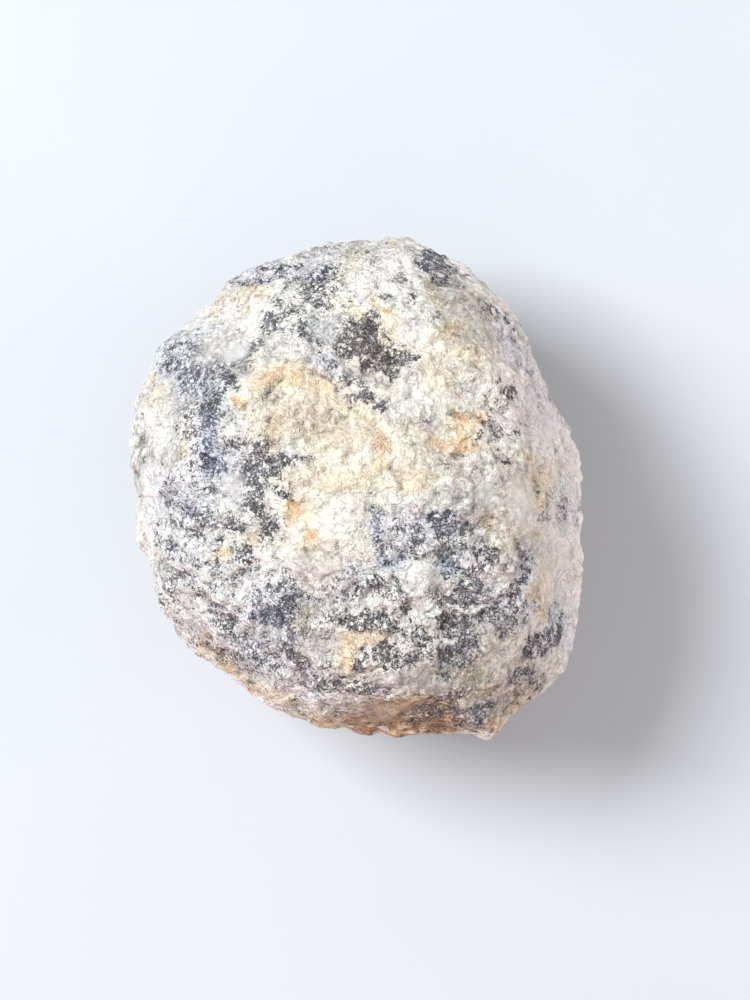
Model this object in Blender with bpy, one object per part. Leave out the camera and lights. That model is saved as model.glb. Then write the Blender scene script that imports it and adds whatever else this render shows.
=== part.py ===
"""An uncut geode: one closed, rough nodule of weathered rock, lying on a small flat spot.

Units are metres and +Z is up. The origin is under the middle of the stone, on the surface that it lies on.
The stone's broad domed face is on top, and its outline is the one seen from above, with +X to the right.
"""

import math

import bmesh
import bpy
import numpy as np
from mathutils import Vector

MM = 0.001

# The outline seen from above: pairs of an angle in degrees, from +X towards +Y, and a distance in mm.
OUTLINE = np.array([
    (0, 23.0), (9, 23.2), (16, 22.5), (25, 22.2), (36, 22.4), (41, 23.2), (46, 23.9), (54, 24.3),
    (62, 25.1), (70, 25.9), (80, 26.3), (86, 25.8), (92, 25.9), (99, 25.5), (105, 25.0), (113, 25.2),
    (120, 25.2), (124, 24.5), (130, 24.1), (137, 24.8), (144, 25.1), (150, 24.7), (156, 24.8), (164, 24.0),
    (172, 23.4), (182, 22.8), (190, 23.1), (194, 23.5), (199, 22.5), (206, 23.0), (215, 23.8), (221, 24.0),
    (226, 23.6), (232, 23.2), (240, 23.4), (250, 24.2), (262, 24.8), (271, 25.4), (281, 25.8), (290, 26.6),
    (294, 27.3), (298, 29.2), (302, 28.4), (308, 28.0), (316, 28.3), (321, 28.0), (325, 26.9), (330, 26.1),
    (337, 24.9), (344, 23.8), (351, 23.2),
])

# The side view: how far the dome rises above the waist, and how far the flat spot lies below it.
DOME_HEIGHT = 20.5 * MM
UNDERSIDE_DEPTH = 21.8 * MM
FLAT_SPOT_DEPTH = 20.9 * MM

# A fullness of 2 is an ellipse, and a larger one has a flatter face and steeper flanks.
DOME_FULLNESS = 2.5
UNDERSIDE_FULLNESS = 2.15

# The outline's nubs and steps are near the waist, and above and below it the stone is rounder.
ROUND_OVER = 22
NUB_RISE = 26

# The waist isn't level: it rises by these shares of the distance along +X and +Y.
WAIST_RISE_X = 0.05
WAIST_RISE_Y = -0.07

# Worn flats: (angle from +X, angle above level, distance from the middle) of each plane.
WORN_FLATS = [
    (18, 24, 21.3 * MM),
    (-20, 32, 23.2 * MM),
    (262, 22, 23.9 * MM),
    (226, 33, 21.9 * MM),
    (185, 28, 21.9 * MM),
    (138, 33, 22.2 * MM),
    (98, 36, 23.0 * MM),
    (62, 68, 19.9 * MM),
    (205, 66, 19.9 * MM),
    (310, 62, 21.2 * MM),
    (350, -36, 22.3 * MM),
    (60, -32, 23.2 * MM),
    (118, -42, 22.2 * MM),
    (170, -30, 22.1 * MM),
    (232, -40, 21.9 * MM),
    (292, -38, 24.0 * MM),
]
FLAT_SHARPNESS = 34

# What shows on the domed face from a step away:
# (x, y, long radius, short radius, turn in degrees, height), placed as seen from above.
# A ledge is flat with a short edge, and is sunk where its height is negative. A lump is round.
LEDGES = [
    (1.9 * MM, 14.0 * MM, 3.9 * MM, 2.7 * MM, 125, -0.70 * MM),
    (-8.2 * MM, 8.2 * MM, 4.6 * MM, 3.2 * MM, 60, 0.38 * MM),
    (-0.8 * MM, 4.8 * MM, 5.6 * MM, 4.2 * MM, 160, 0.32 * MM),
    (-9.4 * MM, 0.9 * MM, 4.6 * MM, 2.6 * MM, 70, -0.42 * MM),
    (7.0 * MM, -5.4 * MM, 5.6 * MM, 3.0 * MM, 172, -0.45 * MM),
    (4.9 * MM, -9.0 * MM, 2.8 * MM, 1.8 * MM, 5, 0.42 * MM),
    (-8.4 * MM, -11.3 * MM, 4.2 * MM, 2.7 * MM, 25, -0.42 * MM),
    (10.4 * MM, -13.8 * MM, 3.8 * MM, 2.8 * MM, 60, -0.36 * MM),
    (0.2 * MM, -16.6 * MM, 2.7 * MM, 1.7 * MM, 8, 0.50 * MM),
    (10.2 * MM, 5.6 * MM, 2.5 * MM, 2.0 * MM, 0, 0.30 * MM),
    (-16.6 * MM, 9.0 * MM, 3.8 * MM, 2.8 * MM, 40, -0.38 * MM),
    (17.2 * MM, -11.6 * MM, 4.6 * MM, 2.0 * MM, 100, 0.38 * MM),
    (-15.6 * MM, -2.2 * MM, 3.4 * MM, 2.4 * MM, 110, 0.34 * MM),
    (-2.6 * MM, -8.6 * MM, 3.0 * MM, 2.2 * MM, 30, 0.32 * MM),
    (8.6 * MM, 16.4 * MM, 3.0 * MM, 2.2 * MM, 120, 0.32 * MM),
]
LUMPS = [
    (-13.0 * MM, 20.6 * MM, 4.6 * MM, 2.3 * MM, 35, 1.0 * MM),
    (-12.4 * MM, 17.2 * MM, 4.4 * MM, 1.4 * MM, 33, -0.6 * MM),
    (13.6 * MM, -24.4 * MM, 2.6 * MM, 2.0 * MM, 60, 0.5 * MM),
    (6.6 * MM, 23.0 * MM, 3.0 * MM, 2.0 * MM, 170, 0.6 * MM),
    (-18.8 * MM, 14.6 * MM, 3.0 * MM, 2.2 * MM, 45, 0.6 * MM),
    (13.6 * MM, 10.6 * MM, 7.0 * MM, 1.6 * MM, 112, 0.5 * MM),
    (-9.0 * MM, -18.4 * MM, 5.0 * MM, 1.7 * MM, 158, 0.6 * MM),
    (-5.0 * MM, 1.6 * MM, 1.6 * MM, 1.4 * MM, 0, -0.35 * MM),
    (4.2 * MM, 9.2 * MM, 2.0 * MM, 1.5 * MM, 70, 0.3 * MM),
    (17.8 * MM, 0.6 * MM, 2.6 * MM, 1.6 * MM, 80, -0.4 * MM),
]
LEDGE_EDGE = 0.3
LEDGE_WANDER = 0.34
LEDGE_WANDER_SIZE = 3 * MM
LEDGE_WANDER_SEED = 77

# Uneven ground all over the stone: (size of a lump, its height, seed of the pattern).
UNEVENNESS = [
    (13.0 * MM, 0.50 * MM, 3),
    (6.5 * MM, 0.46 * MM, 11),
    (3.2 * MM, 0.34 * MM, 23),
]

# Brings gradient noise, whose usual peaks are about 0.6, up to about 1.
NOISE_GAIN = 1.6

# Knocks on the flanks and the underside: round pits scattered about this far apart.
# They grow shallower from level upwards, and end at an angle above it.
KNOCK_SPACING = 9.5 * MM
KNOCK_RADIUS = 2.6 * MM
KNOCK_DEPTH = 0.9 * MM
KNOCK_SEED = 41
KNOCK_END_RISE = 45

# Around the flat spot the ground is smoother, from this angle below level downwards.
SMOOTH_BELOW = -58
SMOOTH_AT = -72

# The solid's mesh: steps along each side of the cube that is blown up into the stone.
CUBE_STEPS = 28
OUTLINE_BINS = 72
MERGE_AT_CUT = 0.05 * MM
SHARP_ANGLE = 50

RIND_COLOUR = (0.62, 0.60, 0.56, 1.0)
RIND_ROUGHNESS = 0.9


def clear_scene():
    for obj in list(bpy.data.objects):
        bpy.data.objects.remove(obj)


def blend(value, low, high):
    """0 at low and 1 at high, with a smooth step between them."""
    share = np.clip((value - low) / (high - low), 0, 1)
    return share * share * (3 - 2 * share)


def lattice(seed):
    """A shuffled order, and a direction and a place in a unit cell for each of its entries."""
    random = np.random.default_rng(seed)
    order = random.permutation(256)
    directions = random.normal(size=(256, 3))
    directions /= np.linalg.norm(directions, axis=1, keepdims=True)
    return order, directions, random.random((256, 3))


def entry(order, cells):
    """The lattice's entry for each cell."""
    first = order[cells[:, 0] & 255]
    second = order[(first + cells[:, 1]) & 255]
    return order[(second + cells[:, 2]) & 255]


def uneven(points, size, seed):
    """Gradient noise from about -1 to 1, with lumps of about the size given."""
    order, directions, _ = lattice(seed)
    scaled = points / size
    cells = np.floor(scaled).astype(int)
    inside = scaled - cells
    ease = inside**3 * (inside * (inside * 6 - 15) + 10)
    total = np.zeros(len(points))
    for corner in np.ndindex(2, 2, 2):
        pull = directions[entry(order, cells + corner)]
        share = np.prod(np.where(corner, ease, 1 - ease), axis=1)
        total += share * np.sum(pull * (inside - corner), axis=1)
    return total * NOISE_GAIN


def nearest_spot(points, spacing, seed):
    """Distance to the nearest of the spots that are scattered about this far apart."""
    order, _, spots = lattice(seed)
    scaled = points / spacing
    cells = np.floor(scaled).astype(int)
    nearest = np.full(len(points), np.inf)
    for step in np.ndindex(3, 3, 3):
        cell = cells + np.array(step) - 1
        spot = cell + spots[entry(order, cell)]
        nearest = np.minimum(nearest, np.linalg.norm(scaled - spot, axis=1))
    return nearest * spacing


def outline_radius(degrees, rounding):
    """The outline's distance from the middle, as a mean of five readings this many degrees apart."""
    steps = np.array([-2, -1, 0, 1, 2]) * rounding
    readings = np.interp(np.add.outer(degrees, steps), OUTLINE[:, 0], OUTLINE[:, 1], period=360)
    return readings.mean(axis=-1) * MM


def facing(compass, rise):
    """The unit direction at an angle from +X and an angle above level."""
    level = math.cos(math.radians(rise))
    turned = math.radians(compass)
    return np.array([level * math.cos(turned), level * math.sin(turned), math.sin(math.radians(rise))])


def main_form(directions):
    """Distance from the middle to the worn, rounded form, along each direction."""
    level = np.hypot(directions[:, 0], directions[:, 1])
    up = directions[:, 2]
    compass = np.degrees(np.arctan2(directions[:, 1], directions[:, 0]))
    rise = np.degrees(np.arctan2(up, level))
    at_waist = np.exp(-(rise / NUB_RISE) ** 2)
    radius = outline_radius(compass, 1) * at_waist + outline_radius(compass, ROUND_OVER / 2) * (1 - at_waist)
    height = np.where(up > 0, DOME_HEIGHT, UNDERSIDE_DEPTH)
    fullness = np.where(up > 0, DOME_FULLNESS, UNDERSIDE_FULLNESS)
    closeness = ((level / radius) ** fullness + (np.abs(up) / height) ** fullness) ** (1 / fullness)
    total = closeness**FLAT_SHARPNESS
    for flat_compass, flat_rise, distance in WORN_FLATS:
        nearness = directions @ facing(flat_compass, flat_rise) / distance
        total += np.maximum(nearness, 0) ** FLAT_SHARPNESS
    return total ** (-1 / FLAT_SHARPNESS)


def reach_of(points, feature):
    """How far each point is from the middle of a feature on the face, where 1 is the feature's rim."""
    x, y, long_radius, short_radius, turn, _ = feature
    off = np.hypot(points[:, 0] - x, points[:, 1] - y)
    off[points[:, 2] < 0] = np.inf
    middle = points[np.argmin(off)]
    away = points - middle
    outward = middle / np.linalg.norm(middle)
    along = facing(turn, 0)
    along -= outward * (along @ outward)
    along /= np.linalg.norm(along)
    across = np.cross(outward, along)
    parts = [away @ along / long_radius, away @ across / short_radius, away @ outward / long_radius]
    return np.sqrt(sum(part**2 for part in parts))


def relief(points, directions):
    """Height of the lumps, ledges, chips and pits over the worn form."""
    rise = np.degrees(np.arcsin(directions[:, 2]))
    wander = uneven(points, LEDGE_WANDER_SIZE, LEDGE_WANDER_SEED) * LEDGE_WANDER
    height = np.zeros(len(points))
    for feature in LEDGES:
        reach = reach_of(points, feature) + wander
        height += feature[-1] * blend(-reach, -1 - LEDGE_EDGE, -1 + LEDGE_EDGE)
    for feature in LUMPS:
        height += feature[-1] * np.exp(-reach_of(points, feature) ** 2)
    for size, amount, seed in UNEVENNESS:
        height += amount * uneven(points, size, seed)
    knocks = np.exp(-(nearest_spot(points, KNOCK_SPACING, KNOCK_SEED) / KNOCK_RADIUS) ** 2)
    height -= KNOCK_DEPTH * knocks * blend(-rise, -KNOCK_END_RISE, 0)
    return height * blend(rise, SMOOTH_AT, SMOOTH_BELOW)


def keep_outline(points):
    """Moves the points in or out, so that the stone seen from above has the outline that is drawn."""
    level = np.hypot(points[:, 0], points[:, 1])
    degrees = np.degrees(np.arctan2(points[:, 1], points[:, 0])) % 360
    width = 360 / OUTLINE_BINS
    ratio = outline_radius(degrees, 1) / level
    middles = (np.arange(OUTLINE_BINS) + 0.5) * width
    needed = np.full(OUTLINE_BINS, np.inf)
    np.minimum.at(needed, (degrees // width).astype(int), ratio)
    points[:, :2] *= np.interp(degrees, middles, needed, period=360)[:, None]


def cube_directions(mesh):
    """Turns the cube's grid points into evenly spread directions."""
    for vert in mesh.verts:
        spread = Vector(math.tan(part * math.pi / 4) for part in vert.co)
        vert.co = spread.normalized()
    return np.array([vert.co for vert in mesh.verts])


def blown_up_cube():
    """The whole stone about its own middle, before the flat spot is cut."""
    mesh = bmesh.new()
    bmesh.ops.create_cube(mesh, size=2)
    bmesh.ops.subdivide_edges(mesh, edges=mesh.edges, cuts=CUBE_STEPS - 1, use_grid_fill=True)
    directions = cube_directions(mesh)
    worn = directions * main_form(directions)[:, None]
    points = worn + directions * relief(worn, directions)[:, None]
    keep_outline(points)
    points[:, 2] += WAIST_RISE_X * points[:, 0] + WAIST_RISE_Y * points[:, 1]
    for vert, point in zip(mesh.verts, points):
        vert.co = point
    return mesh


def cut_flat_spot(mesh):
    """Cuts the stone level a little above its lowest point, and closes the cut with one flat face."""
    cut = bmesh.ops.bisect_plane(
        mesh,
        geom=mesh.verts[:] + mesh.edges[:] + mesh.faces[:],
        dist=MERGE_AT_CUT,
        plane_co=(0, 0, -FLAT_SPOT_DEPTH),
        plane_no=(0, 0, -1),
        clear_outer=True,
    )
    rim = [item for item in cut["geom_cut"] if isinstance(item, bmesh.types.BMEdge)]
    for edge in rim:
        for vert in edge.verts:
            vert.co.z = -FLAT_SPOT_DEPTH
    bmesh.ops.contextual_create(mesh, geom=rim)
    bmesh.ops.recalc_face_normals(mesh, faces=mesh.faces)


def stand_on_origin(mesh):
    """Moves the stone so that its flat spot is at Z = 0 and its box is centred on the origin."""
    points = np.array([vert.co for vert in mesh.verts])
    middle = (points.min(axis=0) + points.max(axis=0)) / 2
    bmesh.ops.translate(mesh, verts=mesh.verts, vec=(-middle[0], -middle[1], FLAT_SPOT_DEPTH))


def rind_material():
    material = bpy.data.materials.new("stone_rind")
    material.use_nodes = True
    shader = material.node_tree.nodes["Principled BSDF"]
    shader.inputs["Base Color"].default_value = RIND_COLOUR
    shader.inputs["Roughness"].default_value = RIND_ROUGHNESS
    shader.inputs["Metallic"].default_value = 0
    return material


def make_geode():
    mesh = blown_up_cube()
    cut_flat_spot(mesh)
    stand_on_origin(mesh)
    data = bpy.data.meshes.new("geode")
    mesh.to_mesh(data)
    mesh.free()
    data.shade_smooth()
    data.set_sharp_from_angle(angle=math.radians(SHARP_ANGLE))
    data.materials.append(rind_material())
    geode = bpy.data.objects.new("geode", data)
    bpy.context.collection.objects.link(geode)


clear_scene()
make_geode()
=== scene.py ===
# A whole, uncut geode: a rough nodule with a pale, crumbly rind over a charcoal one, seen from above.
import math

import bpy
import mathutils
import numpy as np
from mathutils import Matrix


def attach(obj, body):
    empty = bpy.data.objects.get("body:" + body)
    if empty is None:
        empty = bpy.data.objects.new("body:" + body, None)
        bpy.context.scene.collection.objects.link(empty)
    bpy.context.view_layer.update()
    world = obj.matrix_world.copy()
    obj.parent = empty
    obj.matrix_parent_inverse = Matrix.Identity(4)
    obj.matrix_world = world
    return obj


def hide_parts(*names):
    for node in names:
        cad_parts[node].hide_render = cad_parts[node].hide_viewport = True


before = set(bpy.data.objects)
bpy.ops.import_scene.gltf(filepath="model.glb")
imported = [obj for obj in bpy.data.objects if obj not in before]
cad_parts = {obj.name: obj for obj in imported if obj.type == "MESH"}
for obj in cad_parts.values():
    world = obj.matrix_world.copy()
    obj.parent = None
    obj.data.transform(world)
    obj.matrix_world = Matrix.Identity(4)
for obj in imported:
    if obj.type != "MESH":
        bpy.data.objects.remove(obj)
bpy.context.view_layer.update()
mm = 0.001
print("frame loaded")


# The photograph's view: pixels of its 750 x 1000 frame, and the stone's size in it.
pictureView = {
    "width": 750,
    "height": 1000,
    "stoneMiddle": (356.5, 486.5),
    "pixelsPerMm": 9.7,
    "distance": 400,          # mm from the camera down to the stone's waist
    "waistHeight": 20.5,      # mm above the table
    "sensor": 36,
}

# The stone's worn form, in mm and degrees. It is the solid's own form, worked out on a finer grid.
stoneForm = {
    "steps": 128,             # grid steps along each side of the cube that is blown up
    "topPull": 0.2,           # draws grid points from the underside up to the domed face
    "domeHeight": 20.5,
    "undersideDepth": 21.8,
    "flatSpotDepth": 20.9,
    "domeFullness": 2.5,      # 2 is an ellipse, more is flatter on top with steeper flanks
    "undersideFullness": 2.15,
    "waistRounding": 1,       # degrees between the outline's readings, at the waist and away from it
    "domeRounding": 11,
    "nubRise": 26,            # how far above and below the waist the outline's small corners reach
    "waistRise": (0.05, -0.07),
    "flatSharpness": 34,      # how sharp the edges of the worn flats are
    "outlineBins": 180,
    "smoothBelow": -58,       # the relief fades out between these angles, towards the flat spot
    "smoothAt": -72,
}

# The outline from above: an angle from +X towards +Y, and a distance from the middle.
stoneOutline = np.array([
    (0, 23.0), (9, 23.2), (16, 22.5), (25, 22.2), (36, 22.4), (41, 23.2), (46, 23.9), (54, 24.3),
    (62, 25.1), (70, 25.9), (80, 26.3), (86, 25.8), (92, 25.9), (99, 25.5), (105, 25.0), (113, 25.2),
    (120, 25.2), (124, 24.5), (130, 24.1), (137, 24.8), (144, 25.1), (150, 24.7), (156, 24.8), (164, 24.0),
    (172, 23.4), (182, 22.8), (190, 23.1), (194, 23.5), (199, 22.5), (206, 23.0), (215, 23.8), (221, 24.0),
    (226, 23.6), (232, 23.2), (240, 23.4), (250, 24.2), (262, 24.8), (271, 25.4), (281, 25.8), (290, 26.6),
    (294, 27.3), (298, 29.2), (302, 28.4), (308, 28.0), (316, 28.3), (321, 28.0), (325, 26.9), (330, 26.1),
    (337, 24.9), (344, 23.8), (351, 23.2),
])

# Worn flats: the angle from +X, the angle above level and the distance of each.
wornFlats = [
    (18, 24, 21.3), (-20, 32, 23.2), (262, 22, 23.9), (226, 33, 21.9), (185, 28, 21.9), (138, 33, 22.2),
    (98, 36, 23.0), (62, 68, 19.9), (205, 66, 19.9), (310, 62, 21.2), (350, -36, 22.3), (60, -32, 23.2),
    (118, -42, 22.2), (170, -30, 22.1), (232, -40, 21.9), (292, -38, 24.0),
]

# Ledges and sunk places on the face, from above: x, y, two radii, the turn and the height.
ledges = {
    "chip": (1.9, 14.0, 3.9, 2.7, 125, -0.70),
    "yellowShelf": (-8.2, 8.2, 4.6, 3.2, 60, 0.38),
    "creamShelf": (-0.8, 4.8, 5.6, 4.2, 160, 0.32),
    "leftHollow": (-9.4, 0.9, 4.6, 2.6, 70, -0.42),
    "rightHollow": (7.0, -5.4, 5.6, 3.0, 172, -0.45),
    "whitePlate": (4.9, -9.0, 2.8, 1.8, 5, 0.42),
    "lowerHollow": (-8.4, -11.3, 4.2, 2.7, 25, -0.42),
    "cornerHollow": (10.4, -13.8, 3.8, 2.8, 60, -0.36),
    "peachPlate": (0.2, -16.6, 2.7, 1.7, 8, 0.50),
    "orangePlate": (10.2, 5.6, 2.5, 2.0, 0, 0.30),
    "greyHollow": (-16.6, 9.0, 3.8, 2.8, 40, -0.38),
    "flankShelf": (17.2, -11.6, 4.6, 2.0, 100, 0.38),
    "leftShelf": (-15.6, -2.2, 3.4, 2.4, 110, 0.34),
    "lowShelf": (-2.6, -8.6, 3.0, 2.2, 30, 0.32),
    "topShelf": (8.6, 16.4, 3.0, 2.2, 120, 0.32),
}
# Lumps and pits, given as the ledges are. They slope away smoothly, as exp(-reach^2).
lumps = {
    "greyLump": (-13.0, 20.6, 4.6, 2.3, 35, 1.0),
    "grooveUnderLump": (-12.4, 17.2, 4.4, 1.4, 33, -0.6),
    "corner": (13.6, -24.4, 2.6, 2.0, 60, 0.5),
    "topLump": (6.6, 23.0, 3.0, 2.0, 170, 0.6),
    "shoulder": (-18.8, 14.6, 3.0, 2.2, 45, 0.6),
    "rightRidge": (13.6, 10.6, 7.0, 1.6, 112, 0.5),
    "lowRidge": (-9.0, -18.4, 5.0, 1.7, 158, 0.6),
    "smallPit": (-5.0, 1.6, 1.6, 1.4, 0, -0.35),
    "smallLump": (4.2, 9.2, 2.0, 1.5, 70, 0.3),
    "flankPit": (17.8, 0.6, 2.6, 1.6, 80, -0.4),
}
# Noise, ragged edges for the ledges, and knocks scattered over the sides and the underside.
unevenGround = {
    "layers": [(13.0, 0.50, 3), (6.5, 0.46, 11), (3.2, 0.34, 23)],  # size, height and seed
    "ledgeEdge": 0.3,         # as a share of a ledge's size, as the wander is
    "ledgeWander": 0.34,
    "ledgeWanderSize": 3,
    "ledgeWanderSeed": 77,
    "knockSpacing": 9.5,
    "knockRadius": 2.6,
    "knockDepth": 0.9,
    "knockSeed": 41,
    "knockEndRise": 45,       # no knocks on the face above this angle
}


def blend(value, low, high):  # 0 at low, 1 at high, and smooth between them
    share = np.clip((value - low) / (high - low), 0, 1)
    return share * share * (3 - 2 * share)


latticeSize = 256
noiseGain = 1.6  # stretches the noise to run from about -1 to 1


def lattice(seed):  # a shuffled order, with a direction and a place in a unit cell for each entry
    random = np.random.default_rng(seed)
    order = random.permutation(latticeSize)
    directions = random.normal(size=(latticeSize, 3))
    directions /= np.linalg.norm(directions, axis=1, keepdims=True)
    return order, directions, random.random((latticeSize, 3))


def latticeEntry(order, cells):
    first = order[cells[:, 0] % latticeSize]
    second = order[(first + cells[:, 1]) % latticeSize]
    return order[(second + cells[:, 2]) % latticeSize]


# Gradient noise: each corner of a unit cell pulls along its own direction, eased across the cell.
def uneven(points, size, seed):
    order, directions, _ = lattice(seed)
    scaled = points / size
    cells = np.floor(scaled).astype(int)
    inside = scaled - cells
    ease = inside**3 * (inside * (inside * 6 - 15) + 10)
    total = np.zeros(len(points))
    for corner in np.ndindex(2, 2, 2):
        pull = directions[latticeEntry(order, cells + corner)]
        share = np.prod(np.where(corner, ease, 1 - ease), axis=1)
        total += share * np.sum(pull * (inside - corner), axis=1)
    return total * noiseGain


def layered(points, layers):  # a sum of noises, each with its size, weight and seed
    return sum(weight * uneven(points, size, seed) for size, weight, seed in layers)


# Scattered spots: the distances to the nearest and the next, with a steady random value for the nearest and
# the height of a facet about it that tilts its own way.
def nearestSpots(points, spacing, seed):
    order, tilts, spots = lattice(seed)
    scaled = points / spacing
    cells = np.floor(scaled).astype(int)
    nearest = np.full(len(points), np.inf)
    second = np.full(len(points), np.inf)
    value = np.zeros(len(points))
    facet = np.zeros(len(points))
    for step in np.ndindex(3, 3, 3):
        cell = cells + np.array(step) - 1
        entry = latticeEntry(order, cell)
        offset = scaled - cell - spots[entry]
        away = np.linalg.norm(offset, axis=1)
        closer = away < nearest
        second = np.where(closer, nearest, np.minimum(second, away))
        value = np.where(closer, entry / (latticeSize - 1), value)
        facet = np.where(closer, np.sum(offset * tilts[entry], axis=1), facet)
        nearest = np.where(closer, away, nearest)
    return nearest * spacing, second * spacing, value, facet


# The outline's distance from the middle: a mean of five readings, this many degrees apart.
def outlineRadius(degrees, rounding):
    steps = np.arange(-2, 3) * rounding
    readings = np.interp(np.add.outer(degrees, steps), stoneOutline[:, 0], stoneOutline[:, 1], period=360)
    return readings.mean(axis=-1)


def facing(compass, rise):  # the direction at an angle round from +X and an angle above level
    level = math.cos(math.radians(rise))
    turned = math.radians(compass)
    return np.array([level * math.cos(turned), level * math.sin(turned), math.sin(math.radians(rise))])


# The worn form, as a distance r along each direction: (level / R)^p + (|up| / H)^p = (1 / r)^p, where R is
# the outline's radius, H the height and p the fullness, then cut by the worn flats with their edges rounded.
def wornForm(directions):
    level = np.hypot(directions[:, 0], directions[:, 1])
    up = directions[:, 2]
    compass = np.degrees(np.arctan2(directions[:, 1], directions[:, 0]))
    rise = np.degrees(np.arctan2(up, level))
    atWaist = np.exp(-(rise / stoneForm["nubRise"]) ** 2)
    sharp = outlineRadius(compass, stoneForm["waistRounding"])
    rounded = outlineRadius(compass, stoneForm["domeRounding"])
    radius = sharp * atWaist + rounded * (1 - atWaist)
    height = np.where(up > 0, stoneForm["domeHeight"], stoneForm["undersideDepth"])
    fullness = np.where(up > 0, stoneForm["domeFullness"], stoneForm["undersideFullness"])
    closeness = ((level / radius) ** fullness + (np.abs(up) / height) ** fullness) ** (1 / fullness)
    total = closeness ** stoneForm["flatSharpness"]
    for flatCompass, flatRise, distance in wornFlats:
        nearness = np.maximum(directions @ facing(flatCompass, flatRise) / distance, 0)
        total += nearness ** stoneForm["flatSharpness"]
    return total ** (-1 / stoneForm["flatSharpness"])


# How far each point is from a feature's middle on the face, where 1 is the feature's rim.
def featureReach(points, feature):
    x, y, longRadius, shortRadius, turn, _ = feature
    off = np.hypot(points[:, 0] - x, points[:, 1] - y)
    off[points[:, 2] < 0] = np.inf
    middle = points[np.argmin(off)]
    away = points - middle
    outward = middle / np.linalg.norm(middle)
    along = facing(turn, 0)
    along -= outward * (along @ outward)
    along /= np.linalg.norm(along)
    across = np.cross(outward, along)
    parts = [away @ along / longRadius, away @ across / shortRadius, away @ outward / longRadius]
    return np.sqrt(sum(part**2 for part in parts))


# The relief that the solid has too: ledges, lumps, uneven ground and knocks.
def largeRelief(points, directions):
    ground = unevenGround
    rise = np.degrees(np.arcsin(directions[:, 2]))
    wander = uneven(points, ground["ledgeWanderSize"], ground["ledgeWanderSeed"]) * ground["ledgeWander"]
    height = np.zeros(len(points))
    for feature in ledges.values():
        reach = featureReach(points, feature) + wander
        height += feature[-1] * blend(-reach, -1 - ground["ledgeEdge"], -1 + ground["ledgeEdge"])
    for feature in lumps.values():
        height += feature[-1] * np.exp(-featureReach(points, feature) ** 2)
    height += layered(points, ground["layers"])
    nearest, _, _, _ = nearestSpots(points, ground["knockSpacing"], ground["knockSeed"])
    knocks = np.exp(-(nearest / ground["knockRadius"]) ** 2)
    height -= ground["knockDepth"] * knocks * blend(-rise, -ground["knockEndRise"], 0)
    return height * blend(rise, stoneForm["smoothAt"], stoneForm["smoothBelow"])


# Moves points in or out, so that the stone has its drawn outline from above.
def keepOutline(points):
    level = np.hypot(points[:, 0], points[:, 1])
    degrees = np.degrees(np.arctan2(points[:, 1], points[:, 0])) % 360
    bins = stoneForm["outlineBins"]
    width = 360 / bins
    ratio = outlineRadius(degrees, stoneForm["waistRounding"]) / level
    needed = np.full(bins, np.inf)
    np.minimum.at(needed, (degrees // width).astype(int), ratio)
    middles = (np.arange(bins) + 0.5) * width
    points[:, :2] *= np.interp(degrees, middles, needed, period=360)[:, None]


# A cube's surface as six sheets of u and v from 0 to steps. Sheets share the points on their common edges.
def cubeSheets(steps):
    side = steps + 1
    u, v = np.meshgrid(np.arange(side), np.arange(side), indexing="ij")
    low = np.zeros_like(u)
    high = np.full_like(u, steps)
    sheets = [(high, u, v), (low, v, u), (v, high, u), (u, low, v), (u, v, high), (v, u, low)]
    grid = np.array([np.stack(sheet, axis=-1) for sheet in sheets])
    codes = (grid[..., 0] * side + grid[..., 1]) * side + grid[..., 2]
    unique, index = np.unique(codes, return_inverse=True)
    index = index.reshape(codes.shape)
    corners = np.stack([unique // side**2, unique // side % side, unique % side], axis=-1)
    quads = np.stack([index[:, :-1, :-1], index[:, 1:, :-1], index[:, 1:, 1:], index[:, :-1, 1:]], axis=-1)
    return corners, quads.reshape(-1, 4)


# Each grid point's direction: its place on the cube, spread evenly by tan, drawn up and made a unit long.
def gridDirections(corners, steps):
    spread = np.tan((corners / steps * 2 - 1) * math.pi / 4)
    spread /= np.linalg.norm(spread, axis=1, keepdims=True)
    spread[:, 2] += stoneForm["topPull"]
    return spread / np.linalg.norm(spread, axis=1, keepdims=True)


# Where each point shows in the photograph, in its pixels: further from the middle the nearer it is.
def pictureCoordinates(points):
    view = pictureView
    middle = view["stoneMiddle"]
    cameraX = (view["width"] / 2 - middle[0]) / view["pixelsPerMm"]
    cameraY = (middle[1] - view["height"] / 2) / view["pixelsPerMm"]
    nearer = view["distance"] / (view["distance"] + view["waistHeight"] - points[:, 2])
    acrossPixels = view["width"] / 2 + (points[:, 0] - cameraX) * view["pixelsPerMm"] * nearer
    downPixels = view["height"] / 2 - (points[:, 1] - cameraY) * view["pixelsPerMm"] * nearer
    return acrossPixels, downPixels


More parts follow.
